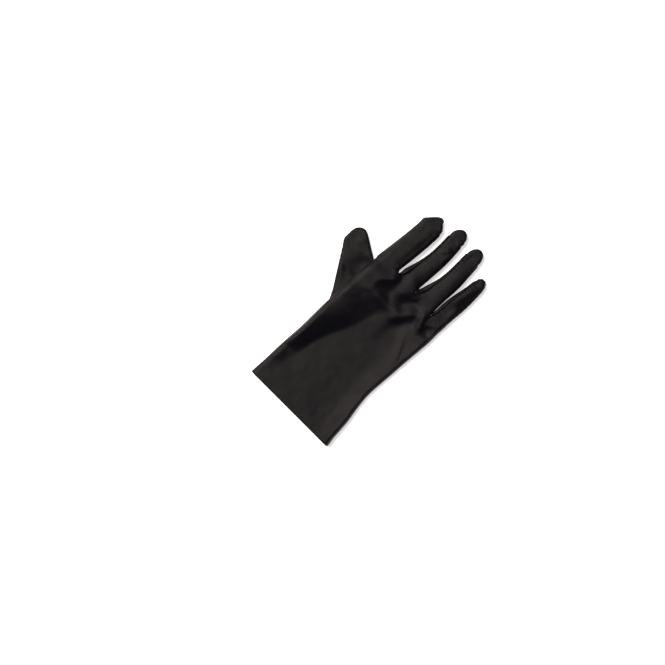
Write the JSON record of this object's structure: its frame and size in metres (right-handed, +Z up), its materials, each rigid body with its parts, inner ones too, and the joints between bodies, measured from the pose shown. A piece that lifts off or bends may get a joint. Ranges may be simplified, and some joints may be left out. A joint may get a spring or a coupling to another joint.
{
  "type": "stretch dress glove, right hand",
  "caption": "Right-hand stretch dress glove lying flat on its palm, its thumb folded under; hollow, open at the hemmed cuff, with gussets between the fingers.",
  "frame": {"origin": "on the surface the glove lies on, under the middle of its bounding box", "axes": "+Y from the cuff to the fingertips, +X towards the little finger's side, +Z up, out of the back of the hand"},
  "size_m": [0.1252, 0.2311, 0.0155],
  "materials": {
    "stretch_knit": "soft satin sheen, fine knit"
  },
  "bodies": {
    "root": {"hand_back": "stretch_knit", "hand_palm": "stretch_knit", "gusset_index_middle": "stretch_knit", "gusset_middle_ring": "stretch_knit", "gusset_ring_little": "stretch_knit", "thumb": "stretch_knit"}
  },
  "joints": []
}
